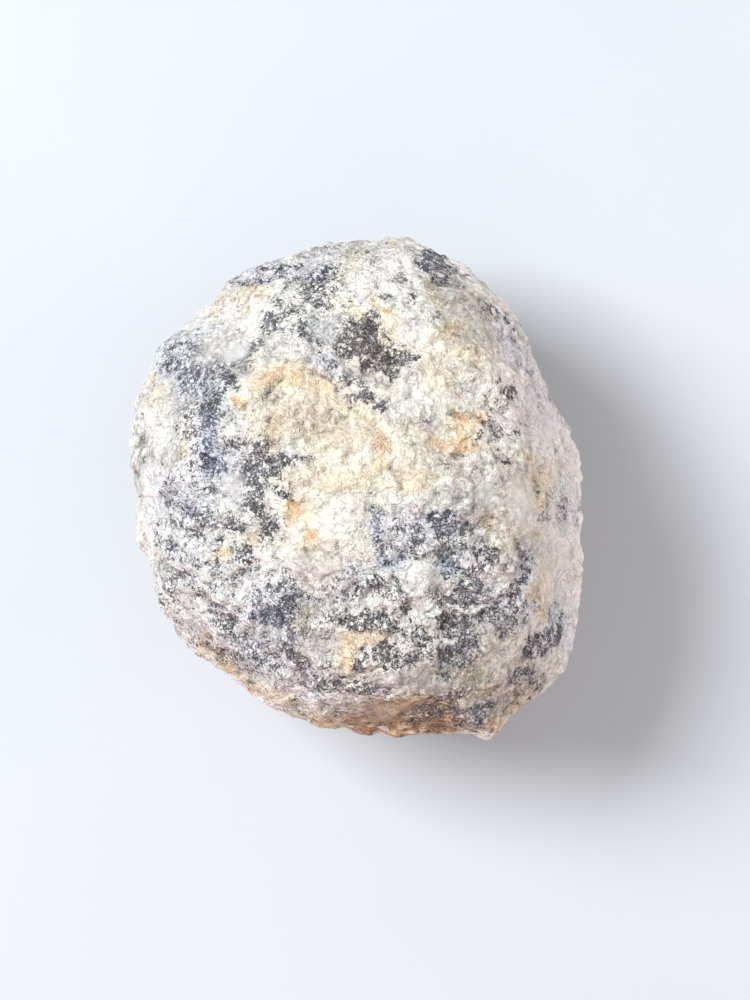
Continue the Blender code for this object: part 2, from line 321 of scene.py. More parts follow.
# Markings on the face, by area, as ragged ellipses in the photograph's pixels: the middle's x and y, two
# radii, the strength in per cent, and a turn in degrees where one has it. First, where the charcoal-coloured
# grains lie bare.
bareCharcoal = {
    "chip": [
        (372, 316, 11, 8, 95, 10), (369, 328, 13, 13, 100), (381, 336, 10, 10, 100), (349, 331, 10, 14, 75),
        (366, 347, 20, 11, 90), (381, 353, 16, 10, 100, -15), (397, 355, 15, 10, 100),
        (392, 345, 12, 7, 95, -35), (410, 355, 8, 4, 80), (374, 365, 15, 7, 75), (391, 369, 10, 7, 90, -50),
        (345, 350, 14, 8, 85), (320, 352, 4, 14, 50), (334, 367, 7, 6, 70), (344, 378, 18, 4, 75, -4),
    ],
    "belowChip": [
        (352, 398, 9, 6, 95), (368, 396, 11, 6, 90), (365, 388, 9, 5, 60), (374, 404, 9, 4, 70),
        (381, 408, 3, 6, 70), (331, 412, 3, 3, 100), (328, 419, 4, 3, 100), (362, 497, 10, 3, 50, 5),
    ],
    "top": [
        (330, 243, 13, 4, 55, 10), (352, 239, 10, 3, 45), (369, 240, 11, 4, 55), (360, 253, 8, 3, 45),
        (298, 256, 16, 5, 45, 27), (332, 268, 10, 7, 80), (402, 268, 5, 6, 45), (402, 280, 7, 4, 50),
        (422, 275, 5, 5, 45), (411, 297, 4, 6, 80), (386, 292, 6, 4, 45), (440, 312, 4, 4, 60),
    ],
    "topPatch": [
        (314, 276, 16, 6, 60, -5), (308, 290, 10, 10, 65), (323, 282, 7, 11, 65), (316, 299, 9, 5, 65, -20),
        (331, 290, 9, 5, 55, -25), (325, 303, 8, 6, 40), (291, 284, 15, 3, 45, 45), (300, 278, 8, 4, 35),
    ],
    "greyLump": [(243, 281, 21, 5, 65, 8), (276, 270, 21, 6, 40, 32), (262, 264, 8, 12, 15)],
    "arc": [
        (269, 323, 11, 10, 75), (290, 311, 13, 7, 55, 10), (302, 327, 6, 8, 70), (285, 304, 16, 4, 40, -10),
        (255, 346, 15, 6, 80, 58), (234, 366, 19, 7, 70, 10), (228, 381, 13, 7, 90, -30),
        (217, 393, 9, 7, 75, 30), (320, 332, 17, 10, 35),
    ],
    "shoulder": [
        (179, 347, 21, 12, 38), (189, 350, 7, 7, 50), (170, 368, 10, 5, 65), (188, 369, 12, 7, 65, -20),
        (190, 380, 13, 11, 60), (206, 389, 6, 7, 50), (190, 410, 10, 10, 50), (187, 431, 9, 7, 60),
        (210, 372, 12, 12, 40),
    ],
    "column": [
        (208, 406, 10, 9, 72), (215, 414, 6, 7, 50), (207, 430, 6, 16, 58), (207, 455, 7, 14, 52),
        (196, 450, 3, 9, 50), (212, 466, 15, 7, 55), (232, 443, 20, 7, 62, 3), (172, 479, 11, 5, 55),
        (222, 483, 5, 7, 50), (212, 491, 7, 7, 50),
    ],
    "inner": [
        (261, 450, 8, 10, 85), (250, 461, 13, 6, 50), (276, 460, 11, 5, 80), (300, 458, 15, 3, 65, -5),
        (268, 467, 15, 8, 80), (285, 462, 14, 5, 50), (280, 450, 6, 8, 35), (272, 476, 11, 4, 65, -5),
        (250, 472, 9, 10, 45), (257, 488, 9, 14, 66), (246, 481, 7, 11, 62), (281, 494, 13, 4, 75, -35),
        (254, 507, 6, 10, 75), (247, 505, 7, 6, 60), (262, 522, 7, 6, 60), (270, 528, 8, 9, 85),
        (263, 538, 6, 5, 60),
    ],
    "leftSpeckle": [
        (164, 497, 6, 9, 50), (176, 498, 13, 9, 25), (180, 508, 15, 5, 50, -15), (191, 515, 17, 5, 50, -10),
        (201, 512, 9, 7, 48), (230, 526, 15, 8, 60, -5), (241, 528, 7, 4, 70), (168, 523, 10, 4, 65),
        (200, 526, 7, 6, 60), (185, 531, 15, 6, 50, -20), (197, 538, 9, 4, 55, -10), (215, 542, 5, 7, 60),
        (234, 550, 5, 9, 50, 60), (246, 551, 5, 7, 65), (166, 547, 8, 11, 50), (197, 562, 13, 4, 55, -10),
        (212, 566, 5, 4, 70), (241, 561, 9, 6, 55), (251, 564, 7, 9, 50), (174, 572, 10, 4, 60, -20),
        (184, 577, 12, 5, 35, -35), (215, 571, 7, 7, 50), (235, 578, 8, 6, 50), (167, 590, 9, 8, 45, 20),
        (196, 592, 12, 6, 35, -50), (206, 588, 11, 9, 30), (139, 445, 4, 24, 60),
    ],
    "lowPatch": [
        (275, 612, 17, 11, 88, 10), (290, 603, 11, 9, 60), (282, 622, 8, 6, 90), (262, 620, 11, 5, 70),
        (256, 604, 7, 13, 50), (268, 590, 5, 11, 60), (287, 586, 13, 9, 55), (310, 598, 12, 4, 70, -12),
        (345, 600, 9, 3, 80, 10), (213, 607, 8, 7, 50), (222, 616, 10, 7, 50), (232, 621, 5, 4, 90),
    ],
    "lowSpeckle": [
        (228, 631, 7, 9, 50), (234, 642, 7, 4, 80, 40), (215, 648, 14, 4, 55, -25),
        (228, 656, 12, 4, 50, -25), (286, 645, 10, 9, 80, -45), (293, 656, 9, 7, 85, -45),
        (301, 667, 7, 9, 85, -60), (262, 656, 14, 6, 55), (252, 643, 16, 10, 35),
        (270, 668, 16, 6, 45, -20), (310, 634, 8, 7, 50), (326, 669, 7, 8, 45), (314, 684, 13, 8, 50),
        (245, 668, 16, 5, 40, -30),
    ],
    "peachPlateEdge": [
        (330, 618, 19, 6, 55, -5), (352, 624, 12, 8, 75), (375, 615, 13, 7, 80, 5), (372, 625, 13, 6, 55),
        (391, 629, 12, 8, 60, -45), (412, 632, 13, 7, 30), (389, 648, 4, 7, 75, 45),
        (379, 655, 9, 4, 50, 20), (360, 667, 9, 6, 92), (390, 663, 12, 7, 65), (404, 668, 10, 5, 50),
        (405, 658, 12, 6, 50),
    ],
    "centre": [
        (374, 511, 9, 7, 70), (375, 528, 6, 13, 65), (391, 527, 11, 8, 38), (406, 525, 13, 8, 38),
        (419, 537, 7, 7, 55), (404, 545, 22, 9, 36), (437, 515, 5, 7, 75), (445, 516, 4, 6, 75),
        (438, 527, 11, 9, 48), (452, 526, 13, 12, 50), (462, 533, 6, 9, 70), (446, 540, 12, 7, 50),
        (446, 553, 13, 6, 97, 8), (461, 550, 7, 7, 70), (450, 567, 13, 9, 50), (380, 543, 6, 6, 45),
        (383, 555, 6, 9, 25), (392, 563, 7, 4, 85), (412, 556, 11, 5, 45),
    ],
    "besidePlate": [
        (373, 580, 9, 6, 70, -30), (376, 588, 5, 7, 70), (389, 589, 12, 9, 42, -40),
        (402, 596, 10, 6, 50, -40), (355, 576, 11, 11, 15), (361, 591, 11, 6, 25), (405, 607, 6, 6, 90),
    ],
    "right": [
        (478, 553, 8, 5, 75), (493, 553, 8, 7, 85), (484, 544, 6, 4, 50), (486, 563, 6, 6, 60),
        (475, 525, 7, 7, 40), (506, 566, 4, 4, 80), (519, 546, 4, 4, 40), (473, 571, 12, 8, 55),
        (526, 565, 6, 13, 45), (524, 577, 6, 9, 50), (514, 589, 12, 7, 65, 35), (471, 588, 11, 10, 68),
        (481, 587, 5, 6, 95), (463, 597, 8, 5, 90, 20), (475, 598, 9, 5, 65), (464, 606, 7, 6, 97),
        (446, 602, 14, 6, 75), (437, 616, 15, 6, 50, -5), (451, 620, 13, 7, 50), (448, 629, 11, 9, 60),
        (465, 630, 8, 13, 90), (471, 641, 9, 9, 80), (457, 650, 18, 8, 97, 5), (475, 650, 8, 6, 65),
        (468, 660, 13, 5, 75, 15), (447, 665, 11, 9, 85), (446, 677, 10, 6, 65), (425, 646, 11, 10, 50),
        (418, 657, 12, 6, 50), (490, 600, 14, 9, 45), (490, 616, 13, 9, 50), (512, 609, 13, 11, 50),
        (475, 615, 14, 8, 40), (514, 601, 4, 4, 90), (531, 606, 10, 9, 35), (508, 626, 15, 11, 50),
        (503, 638, 5, 3, 97),
    ],
    "rightFlank": [
        (545, 641, 15, 8, 60, 30), (551, 632, 7, 7, 75), (530, 650, 6, 8, 85, -15), (541, 646, 7, 5, 50),
        (559, 616, 8, 9, 45), (518, 676, 10, 6, 85, 30), (531, 673, 11, 6, 20, 40),
        (524, 687, 18, 6, 40, 30), (543, 519, 6, 4, 70), (549, 510, 10, 11, 25), (566, 511, 9, 14, 35),
        (538, 491, 4, 11, 35), (500, 380, 3, 3, 80), (510, 393, 6, 7, 97), (491, 397, 8, 5, 50),
        (501, 404, 9, 8, 35), (486, 421, 6, 6, 50), (481, 437, 3, 6, 80), (495, 430, 10, 8, 40),
        (523, 422, 6, 4, 55), (515, 434, 5, 3, 50), (503, 460, 6, 6, 85), (499, 450, 8, 5, 45),
        (448, 463, 8, 6, 50), (478, 471, 5, 4, 70), (478, 457, 6, 2, 70), (428, 424, 6, 5, 55),
        (575, 566, 3, 10, 50),
    ],
    "topRight": [
        (430, 252, 13, 8, 80, -40), (446, 259, 13, 5, 60, -42), (433, 268, 10, 8, 80, -40),
        (456, 305, 26, 10, 30, -60), (442, 277, 8, 5, 90, -10), (425, 262, 11, 3, 70, -20),
        (456, 269, 10, 5, 65, -52), (452, 286, 5, 4, 90), (464, 283, 8, 4, 55, -58),
        (495, 310, 11, 5, 70, -50), (513, 327, 10, 5, 35, -55), (480, 310, 11, 9, 30),
        (515, 350, 22, 8, 12, -60), (531, 380, 14, 5, 12, -62),
    ],
    # at the bottom the dark is partly bare charcoal, partly painted shade under the undercut flank
    "bottom": [
        (332, 687, 14, 6, 50), (347, 684, 11, 8, 40), (366, 688, 12, 7, 75), (382, 692, 15, 4, 75),
        (445, 697, 24, 5, 80, 3), (430, 714, 13, 9, 97), (448, 714, 12, 10, 85), (422, 719, 16, 6, 75),
        (395, 728, 32, 4, 50), (471, 717, 15, 9, 70), (491, 714, 14, 7, 60, 30), (345, 725, 12, 4, 25, -5),
        (520, 700, 16, 5, 60, 35), (465, 688, 18, 6, 45, 5), (480, 729, 14, 4, 55),
        (491, 697, 9, 5, 50, 20),
    ],
    "speckledGround": [
        (178, 470, 46, 130, 22), (330, 640, 180, 66, 28, -6), (202, 424, 34, 44, 14),
        (300, 288, 84, 44, 18, 25), (528, 470, 36, 150, 6, 12), (440, 560, 90, 58, 20),
        (245, 500, 50, 80, 18), (370, 720, 170, 24, 20, -4), (320, 335, 50, 26, 20),
    ],
}

# Cream, yellow and orange stains.
stains = {
    "yellowShelf": [
        (262, 376, 19, 15, 45), (292, 372, 22, 12, 70), (252, 388, 6, 5, 50), (268, 381, 9, 7, 50),
        (238, 401, 6, 6, 95), (320, 386, 11, 9, 60), (328, 382, 12, 10, 35, -40), (309, 378, 15, 10, 30),
        (280, 402, 40, 28, 32), (271, 416, 7, 15, 45), (269, 433, 7, 12, 50), (338, 420, 38, 30, 50),
        (268, 448, 16, 18, 20), (318, 452, 20, 12, 25), (288, 420, 10, 24, 30), (362, 425, 16, 9, 30, 30),
    ],
    "cream": [
        (380, 441, 12, 10, 60), (382, 457, 10, 14, 50), (370, 467, 14, 8, 40), (330, 480, 50, 14, 45, -4),
        (414, 478, 20, 16, 45), (395, 450, 72, 40, 25), (330, 520, 60, 50, 20), (280, 482, 12, 12, 10),
    ],
    "orangePlate": [
        (458, 414, 7, 5, 90), (465, 430, 17, 18, 62), (452, 422, 12, 10, 35), (478, 416, 9, 8, 75),
        (450, 446, 23, 7, 55, -8), (474, 447, 12, 7, 70), (433, 440, 10, 10, 45),
    ],
    "orangeSpots": [
        (290, 510, 8, 14, 90), (302, 508, 12, 14, 50), (310, 533, 7, 7, 90), (326, 562, 14, 8, 30),
        (308, 545, 10, 8, 50), (222, 551, 10, 8, 72), (214, 560, 8, 7, 35), (248, 543, 9, 12, 50),
        (297, 627, 12, 8, 35), (530, 458, 4, 4, 95),
    ],
    "groove": [(254, 293, 16, 9, 60, 15), (240, 303, 10, 6, 40, 22), (215, 311, 16, 6, 42, 40)],
    "chipEdge": [
        (374, 300, 8, 6, 60), (386, 309, 8, 4, 95), (358, 313, 10, 5, 50), (392, 319, 9, 10, 35),
        (375, 343, 30, 28, 45),
    ],
    "top": [(390, 240, 9, 5, 50), (348, 264, 12, 18, 28, -30), (345, 305, 14, 8, 30)],
    "upperRight": [
        (457, 325, 11, 7, 50), (450, 331, 12, 8, 35), (463, 353, 10, 7, 45), (478, 355, 8, 8, 40),
        (460, 345, 34, 26, 22), (438, 290, 16, 18, 40), (461, 315, 12, 24, 35), (440, 380, 18, 14, 35),
        (428, 366, 14, 12, 22), (386, 390, 14, 8, 20), (450, 385, 60, 60, 10),
    ],
    "left": [(154, 392, 9, 18, 38), (185, 450, 9, 12, 32), (240, 425, 24, 20, 14)],
    "peachPlate": [
        (363, 641, 26, 9, 68, 3), (345, 656, 10, 17, 68), (354, 668, 9, 5, 35), (338, 669, 8, 6, 20),
    ],
    "right": [
        (488, 522, 5, 14, 55), (535, 535, 8, 6, 45), (533, 592, 7, 10, 60), (545, 610, 7, 11, 55),
        (515, 487, 9, 8, 40), (475, 671, 13, 10, 42), (510, 510, 60, 24, 25, 90), (540, 490, 12, 26, 50),
        (546, 580, 10, 34, 45), (300, 614, 14, 8, 30), (485, 675, 50, 22, 20), (500, 645, 24, 20, 30),
    ],
    # on the bottom the stain is partly a real rusty stain, partly painted warm light reflected up from below
    "bottom": [
        (392, 712, 30, 12, 100), (380, 723, 36, 12, 95), (412, 725, 36, 12, 95), (404, 718, 30, 14, 95),
        (438, 718, 22, 12, 90), (430, 704, 30, 12, 70), (390, 727, 70, 9, 95), (470, 694, 24, 8, 40),
        (500, 728, 16, 5, 80), (520, 705, 20, 6, 50, 35), (214, 655, 28, 9, 75, -38),
        (258, 688, 46, 8, 65, -35), (318, 722, 26, 8, 70, -15),
    ],
}

# Grey, bluish and violet places.
coolTints = {
    "upperLeft": [
        (178, 345, 34, 20, 50, 30), (250, 270, 34, 12, 50, 22), (196, 382, 28, 24, 45),
        (312, 268, 30, 10, 40), (320, 330, 20, 14, 20),
    ],
    "column": [
        (207, 432, 9, 24, 80), (208, 458, 12, 12, 65), (216, 470, 16, 8, 40), (222, 440, 24, 40, 30),
    ],
    "left": [
        (185, 495, 40, 26, 42), (180, 540, 30, 30, 25), (240, 480, 14, 24, 20), (270, 612, 30, 18, 22),
    ],
    "centre": [
        (374, 524, 8, 18, 70), (405, 530, 40, 18, 40), (450, 525, 20, 20, 35), (390, 562, 14, 10, 70),
        (450, 567, 14, 9, 85), (355, 580, 18, 18, 30), (400, 410, 26, 12, 20), (434, 424, 10, 9, 45),
    ],
    "right": [
        (525, 566, 10, 22, 50), (505, 610, 30, 22, 25), (545, 640, 20, 12, 35, 30), (566, 505, 12, 26, 30),
    ],
    "topRight": [(433, 262, 18, 12, 30, -40), (510, 340, 30, 12, 42, -60), (540, 400, 16, 40, 34, 20)],
    "lowerLeft": [
        (225, 620, 70, 60, 26), (280, 680, 50, 34, 32, -20), (470, 712, 16, 12, 30), (325, 365, 22, 10, 40),
    ],
    "lowerRight": [(565, 620, 14, 40, 40, 10), (530, 672, 20, 14, 30, 30), (480, 600, 70, 60, 14)],
}

# Duller, greyer crust, which looks thin over the charcoal. Along the plateau's furrows these marks are
# painted shade, and at the bottom partly so.
dullCrust = {
    "rightOfCentre": [
        (452, 482, 26, 24, 75), (486, 505, 20, 34, 90), (516, 500, 22, 60, 60, 8), (478, 540, 12, 22, 40),
    ],
    "upperRight": [
        (462, 312, 40, 24, 90, -60), (508, 338, 34, 11, 25, -60), (440, 284, 26, 18, 60, -45),
        (466, 375, 16, 34, 50), (430, 430, 18, 24, 60),
    ],
    "rightFlank": [(500, 405, 14, 14, 25), (492, 430, 12, 14, 20), (548, 560, 24, 60, 20)],
    "lowerRight": [
        (495, 640, 30, 26, 85), (468, 674, 48, 16, 95), (520, 700, 30, 10, 80, 35), (498, 580, 16, 14, 45),
        (540, 665, 30, 20, 40, 30),
    ],
    # at the bottom the dulling is partly a greyer crust, partly painted shade under the undercut flank
    "bottom": [(432, 682, 60, 14, 100, 2), (400, 718, 70, 16, 100), (480, 704, 44, 18, 90)],
    "lowerLeft": [
        (314, 645, 22, 18, 60), (320, 612, 30, 10, 50), (226, 655, 60, 7, 20, -32),
        (250, 645, 60, 30, 28, -20),
    ],
    "middle": [
        (320, 564, 28, 16, 80), (308, 600, 30, 16, 60), (266, 632, 20, 10, 60), (250, 532, 10, 12, 60),
    ],
    "upperLeft": [
        (320, 332, 20, 14, 60), (356, 372, 30, 10, 40), (232, 366, 18, 9, 60), (195, 375, 30, 22, 30),
        (235, 290, 34, 14, 60, 20), (350, 250, 50, 14, 35), (222, 350, 26, 26, 60), (268, 348, 18, 16, 45),
        (322, 362, 20, 12, 60),
    ],
    # these lie along the plateau's furrows and paint their shade
    "plateau": [
        (268, 400, 6, 24, 50), (285, 440, 16, 26, 40), (282, 404, 14, 20, 30), (328, 418, 26, 18, 40),
    ],
    "leftOfPlateau": [
        (165, 400, 20, 18, 40), (138, 455, 10, 26, 90), (172, 460, 12, 24, 40), (200, 575, 60, 16, 15, -10),
        (158, 575, 14, 34, 20),
    ],
}

# Whole chalky plates, with none of the charcoal bare.
chalkPlates = {
    "plate": [
        (408, 571, 22, 10, 100), (416, 588, 10, 9, 90), (432, 574, 12, 10, 70), (374, 604, 13, 9, 70, -30),
    ],
    "crumbs": [(467, 560, 9, 6, 80), (490, 462, 13, 13, 70), (205, 573, 6, 6, 85), (423, 610, 14, 7, 60)],
    "leftStrip": [(149, 508, 9, 44, 90), (160, 440, 16, 34, 60)],
    "bottom": [
        (395, 680, 26, 5, 60), (428, 671, 30, 4, 70), (361, 641, 28, 9, 95, 3), (342, 656, 10, 18, 95),
    ],
    "upper": [
        (245, 328, 18, 15, 60), (300, 348, 16, 10, 70), (225, 340, 14, 12, 40), (318, 425, 44, 30, 50),
    ],
    "centre": [
        (330, 520, 44, 34, 80), (290, 555, 26, 14, 70), (400, 480, 60, 22, 70), (395, 320, 20, 30, 50),
    ],
}

# Smooth, milky places.
milkySmears = {
    "left": [(237, 354, 14, 8, 90, 15), (232, 485, 12, 16, 85), (240, 372, 10, 5, 40)],
    "right": [
        (522, 503, 14, 26, 80, 8), (548, 431, 10, 16, 70, 8), (552, 560, 14, 44, 60, 4),
        (488, 496, 8, 14, 70, 20),
    ],
    "middle": [
        (327, 565, 16, 9, 55, -15), (404, 395, 18, 11, 30, -30), (340, 512, 14, 20, 35),
        (356, 428, 10, 8, 60),
    ],
    "bottom": [
        (428, 686, 46, 7, 35, 2), (318, 645, 20, 12, 35), (380, 712, 36, 8, 40), (500, 660, 22, 14, 40),
    ],
    "upper": [(325, 330, 14, 10, 60), (466, 318, 24, 12, 50, -50), (445, 290, 10, 8, 50)],
}
faceMarks = {
    "bare": bareCharcoal, "stain": stains, "cool": coolTints, "dull": dullCrust, "smear": milkySmears,
}
markingEdges = {
    "warpLarge": (3.0, 3.5, 101),   # size in mm, reach in pixels, seed
    "warpSmall": (0.9, 3.0, 131),
    "ragged": [(0.75, 0.36, 161)],  # size in mm, share of a mark's radius, seed
    "softness": {"bare": 0.6, "stain": 0.45, "cool": 0.6, "dull": 0.7, "smear": 0.6, "plate": 0.3},
    "furrowShade": {"bare": 0.7, "dull": 1.2},
    "furrowFloor": 0.15,            # the flat share of a furrow's width
    "steep": (-0.55, -0.15),        # on steep sides the markings waver more, so none runs straight down
    "steepWarp": 2.6,
    "hiddenFrom": 0.05,             # the face's markings end between these heights of the direction
    "hiddenTo": -0.2,
}

# The side that the picture doesn't show is marked from noise: its layers' size, weight and seed, the range of
# noise over which a mark grows, its least strength and what it gains.
hiddenSide = {
    "bare": ([(9.0, 1, 211), (4.2, 0.6, 223), (1.8, 0.35, 227)], 0.1, 0.75, 0.2, 0.6),
    "stain": ([(11.0, 1, 241), (4.6, 0.5, 251)], 0.05, 1.0, 0, 0.6),
    "cool": ([(11.0, -1, 241), (4.6, -0.5, 251)], 0.2, 1.0, 0, 0.5),
    "dull": ([(6.0, 1, 257)], -0.2, 0.8, 0, 0.5),
    "smear": ([(5.0, 1, 263)], 0.62, 0.8, 0, 0.7),
}

# Furrows on the face: places along each in the photograph's pixels, its width in pixels and depth in mm.
furrows = {
    "plateau": (
        [(284, 374), (272, 386), (261, 400), (267, 411), (267, 421), (262, 430), (271, 443)], 4.0, 0.55,
    ),
    "plateauEnd": ([(312, 372), (326, 376), (336, 388), (338, 400)], 3.5, 0.4),
    "chipFoot": ([(352, 372), (368, 379), (390, 382), (404, 366)], 3.5, 0.35),
    "plateLeft": ([(384, 546), (390, 567), (396, 583), (408, 597)], 3.5, 0.45),
    "plateTop": ([(390, 564), (404, 560), (421, 560)], 3.0, 0.35),
    "peachPlate": (
        [(350, 633), (372, 633), (391, 637), (388, 648), (360, 651), (357, 678), (336, 682)], 3.0, 0.4,
    ),
    "orangePlate": ([(447, 412), (468, 408), (484, 416), (484, 436), (470, 455), (432, 453)], 3.0, 0.35),
    "smallOne": ([(350, 450), (345, 464), (336, 470)], 3.0, 0.3),
    "smallTwo": ([(304, 452), (310, 462), (308, 470)], 3.0, 0.3),
}


# Each furrow is deepest along its path, and its sides ease up to nothing at its width.
def furrowDepth(across, down):
    depth = np.zeros(len(across))
    for path, width, deepest in furrows.values():
        for (startX, startY), (endX, endY) in zip(path, path[1:]):
            stepX = endX - startX
            stepY = endY - startY
            along = ((across - startX) * stepX + (down - startY) * stepY) / (stepX**2 + stepY**2)
            along = np.clip(along, 0, 1)
            off = np.hypot(across - startX - along * stepX, down - startY - along * stepY)
            side = blend(off, markingEdges["furrowFloor"] * width, width)
            depth = np.maximum(depth, deepest * (1 - side))
    return depth


# How strongly a set of ragged ellipses marks each point. Ones that overlap add up, and never pass 1.
def markingStrength(across, down, ragged, marks, softness):
    unmarked = np.ones(len(across))
    for x, y, longRadius, shortRadius, strength, *turn in sum(marks.values(), []):
        angle = math.radians(turn[0] if turn else 0)
        along = (across - x) * math.cos(angle) - (down - y) * math.sin(angle)
        aside = (across - x) * math.sin(angle) + (down - y) * math.cos(angle)
        reach = np.hypot(along / longRadius, aside / shortRadius) + ragged
        unmarked *= 1 - strength / 100 * blend(-reach, -1 - softness, -1 + softness)
    return 1 - unmarked


# The markings at each point: from the picture on the face, and from noise on the side that it doesn't show.
def stoneMarkings(points, directions):
    edges = markingEdges
    across, down = pictureCoordinates(points)
    steep = blend(-directions[:, 2], *edges["steep"]) * edges["steepWarp"]
    for size, reach, seed in (edges["warpLarge"], edges["warpSmall"]):
        across = across + uneven(points, size, seed) * reach * (1 + steep)
        down = down + uneven(points, size, seed + 1) * reach * (1 + steep)
    ragged = layered(points, edges["ragged"])
    seen = blend(directions[:, 2], edges["hiddenTo"], edges["hiddenFrom"])
    plates = markingStrength(across, down, ragged, chalkPlates, edges["softness"]["plate"])
    furrow = furrowDepth(across, down)
    marks = {}
    for name, marksOnFace in faceMarks.items():
        face = markingStrength(across, down, ragged, marksOnFace, edges["softness"][name])
        if name == "bare":
            face *= 1 - plates
        if name in edges["furrowShade"]:
            face = 1 - (1 - face) * (1 - furrow * edges["furrowShade"][name])
        layers, low, high, least, gain = hiddenSide[name]
        hidden = least + gain * blend(layered(points, layers), low, high)
        marks[name] = face * seen + hidden * (1 - seen)
    return marks, furrow * seen


# The rind's crumbs and flakes, in mm. They are too fine for the solid.
rindCrumbs = {
    "warpSize": 1.6,
    "warp": 0.45,
    "warpSeeds": (301, 302, 303),
    "flakeSpacing": 2.1,
    "flakeHeight": 0.36,
    "flakeTilt": 0.36,
    "flakeSeed": 311,
    "crumbSpacing": 1.05,
    "crumbHeight": 0.36,
    "crumbTilt": 0.26,
    "crumbEdge": 0.4,         # as a share of the spacing
    "leastCrumb": 0.5,        # the lowest crumb, as a share of the highest
    "meanCrumb": 0.4,
    "crumbSeed": 317,
    "creaseSize": 2.4,
    "creaseDepth": 0.26,
    "creaseNarrowness": 2.4,
    "creasePower": 3,
    "creaseSeed": 331,
    "gritSize": 0.7,
    "gritHeight": 0.13,
    "gritSeed": 337,
    "bareDepth": 0.14,        # how far the bare charcoal places lie below the pale rind
    "smearSmoothing": 0.8,
    # the weights of the painted shade: lighter on crumbs, flakes and grit, darker in creases
    "shade": {"base": 0.325, "crumb": 0.35, "flake": 0.3, "grit": 0.125, "crease": -0.25},
}


# The rind's crumbs, flakes and creases: its height in mm over the worn form, and a painted shade that follows
# it, lighter on crumbs and darker in creases.
def fineRelief(points, marks, furrow):
    rind = rindCrumbs
    drift = np.stack([uneven(points, rind["warpSize"], seed) for seed in rind["warpSeeds"]], axis=-1)
    shifted = points + drift * rind["warp"]
    _, _, flake, flakeFacet = nearestSpots(shifted, rind["flakeSpacing"], rind["flakeSeed"])
    nearest, second, value, crumbFacet = nearestSpots(shifted, rind["crumbSpacing"], rind["crumbSeed"])
    inside = blend((second - nearest) / rind["crumbSpacing"], 0, rind["crumbEdge"])
    crumb = inside * (rind["leastCrumb"] + (1 - rind["leastCrumb"]) * value)
    off = np.abs(uneven(shifted, rind["creaseSize"], rind["creaseSeed"])) * rind["creaseNarrowness"]
    crease = np.maximum(1 - off, 0) ** rind["creasePower"]
    grit = uneven(points, rind["gritSize"], rind["gritSeed"])
    height = rind["flakeHeight"] * (flake - 0.5) + rind["flakeTilt"] * flakeFacet
    height += rind["crumbHeight"] * (crumb - rind["meanCrumb"]) + rind["crumbTilt"] * crumbFacet
    height += rind["gritHeight"] * grit - rind["creaseDepth"] * crease
    height *= 1 - rind["smearSmoothing"] * marks["smear"]
    height -= rind["bareDepth"] * marks["bare"] + furrow
    parts = {"base": 1, "crumb": crumb, "flake": flake, "grit": grit, "crease": crease}
    shade = sum(weight * parts[name] for name, weight in rind["shade"].items())
    return height, np.clip(shade, 0, 1)


def sheetUvs(steps):  # the six sheets side by side, three across and two up, with a narrow border
    border = 0.01
    u, v = np.meshgrid(np.arange(steps + 1), np.arange(steps + 1), indexing="ij")
    places = np.stack([u, v], axis=-1) / steps * (1 - 2 * border) + border
    uvs = []
    for sheet in range(6):
        cell = (places + [sheet % 3, sheet // 3]) / [3, 2]
        uvs.append(np.stack([cell[:-1, :-1], cell[1:, :-1], cell[1:, 1:], cell[:-1, 1:]], axis=2))
    return np.array(uvs).reshape(-1, 2)


# One pass of smoothing over the grid: each point takes the mean of its faces' means.
def evenOut(values, faces):
    total = np.zeros(len(values))
    np.add.at(total, faces, values[faces].mean(axis=1)[:, None])
    return total / np.bincount(faces.ravel())


def makeStone():
    steps = stoneForm["steps"]
    corners, faces = cubeSheets(steps)
    directions = gridDirections(corners, steps)
    worn = directions * wornForm(directions)[:, None]
    points = worn + directions * largeRelief(worn, directions)[:, None]
    keepOutline(points)
    riseX, riseY = stoneForm["waistRise"]
    points[:, 2] += riseX * points[:, 0] + riseY * points[:, 1]
    middle = (points.min(axis=0) + points.max(axis=0)) / 2
    points -= [middle[0], middle[1], -stoneForm["flatSpotDepth"]]
    print("stone form done")

    marks, furrow = stoneMarkings(points, directions)
    height, paintedCrumbShade = fineRelief(points, marks, furrow)
    points += directions * evenOut(height, faces)[:, None]
    points[:, 2] = np.maximum(points[:, 2], 0)  # the small flat spot that it lies on
    print("rind done")

    mesh = bpy.data.meshes.new("geodeStone")
    mesh.vertices.add(len(points))
    mesh.vertices.foreach_set("co", (points * mm).ravel())
    mesh.loops.add(faces.size)
    mesh.loops.foreach_set("vertex_index", faces.ravel())
    mesh.polygons.add(len(faces))
    mesh.polygons.foreach_set("loop_start", np.arange(len(faces)) * 4)
    mesh.update(calc_edges=True)
    mesh.shade_smooth()
    mesh.uv_layers.new(name="OFBake").data.foreach_set("uv", sheetUvs(steps).ravel())
    # the crumb attribute carries the painted shade of the crumbs and creases
    for name, values in (*marks.items(), ("crumb", paintedCrumbShade)):
        mesh.attributes.new(name, "FLOAT", "POINT").data.foreach_set("value", values)
    stone = bpy.data.objects.new("geodeStone", mesh)
    bpy.context.collection.objects.link(stone)
    return stone


# Short ways to add and join shader nodes.
def addNode(tree, kind, **settings):
    node = tree.nodes.new(kind)
    for name, value in settings.items():
        setattr(node, name, value)
    return node


def fill(tree, socket, value):  # a socket is joined, anything else is a plain value
    if isinstance(value, bpy.types.NodeSocket):
        tree.links.new(value, socket)
    else:
        socket.default_value = value


def calculate(tree, operation, first, second=0.0, clamp=False):
    node = addNode(tree, "ShaderNodeMath", operation=operation, use_clamp=clamp)
    fill(tree, node.inputs[0], first)
    fill(tree, node.inputs[1], second)
    return node.outputs[0]


def joinVectors(tree, operation, first, second):
    node = addNode(tree, "ShaderNodeVectorMath", operation=operation)
    fill(tree, node.inputs[0], first)
    fill(tree, node.inputs[1], second)
    return node.outputs["Value" if operation == "DOT_PRODUCT" else "Vector"]


